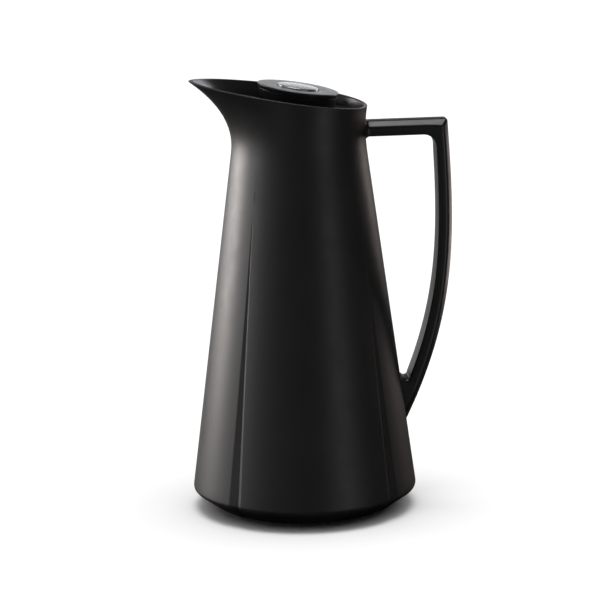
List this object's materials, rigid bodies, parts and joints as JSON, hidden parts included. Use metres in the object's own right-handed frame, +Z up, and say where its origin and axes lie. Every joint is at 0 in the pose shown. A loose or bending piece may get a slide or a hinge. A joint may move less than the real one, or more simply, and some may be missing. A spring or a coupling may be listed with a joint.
{
  "type": "insulated serving jug",
  "caption": "Tapered insulated jug with a pouring spout, a loop handle, a glass vacuum flask inside and a lift-out stopper whose push button opens a valve for pouring.",
  "frame": {"origin": "centre of the foot pad's underside, on the table below the jug's axis", "axes": "+Z up along the jug's axis, +X towards the handle, -X towards the spout"},
  "size_m": [0.1728, 0.1468, 0.285],
  "materials": {
    "casing_plastic": "satin black",
    "inner_plastic": "satin black, moulded",
    "lid_plastic": "satin black",
    "polished_steel": "satin polished",
    "silvered_glass": "silvered on the vacuum side",
    "black_rubber": "matt",
    "grey_silicone": "matt"
  },
  "bodies": {
    "jug": {"casing_shell": "casing_plastic", "handle": "casing_plastic", "handle_screw_left": "polished_steel", "handle_screw_right": "polished_steel", "handle_screw_lower": "polished_steel", "base_cover": "inner_plastic", "base_seal": "grey_silicone", "foot_pad": "black_rubber", "flask_cushion": "black_rubber", "flask_outer_glass": "silvered_glass", "flask_inner_glass": "silvered_glass", "flask_spacer_1": "grey_silicone", "flask_spacer_2": "grey_silicone", "flask_spacer_3": "grey_silicone", "funnel_insert": "inner_plastic", "funnel_seal": "grey_silicone", "flask_gasket": "grey_silicone"},
    "stopper": {"stopper_body": "lid_plastic", "stopper_top": "lid_plastic", "stem_guide": "inner_plastic", "stem_seal": "grey_silicone", "stopper_seal": "grey_silicone", "button_spring": "polished_steel"},
    "button": {"push_button": "lid_plastic", "button_inlay": "polished_steel", "valve_stem": "inner_plastic", "stem_screw": "polished_steel", "valve_disc": "inner_plastic", "valve_seal": "grey_silicone"}
  },
  "joints": [
    {"name": "stopper_lift", "type": "slide", "parent": "jug", "child": "stopper", "axis": [0, 0, 1], "range_m": [0, 0.085]},
    {"name": "button_press", "type": "slide", "parent": "stopper", "child": "button", "axis": [0, 0, 1], "range_m": [-0.004, 0], "stiffness_N_per_m": 1200, "springref_m": 0.003, "deforming": ["button_spring"]}
  ]
}
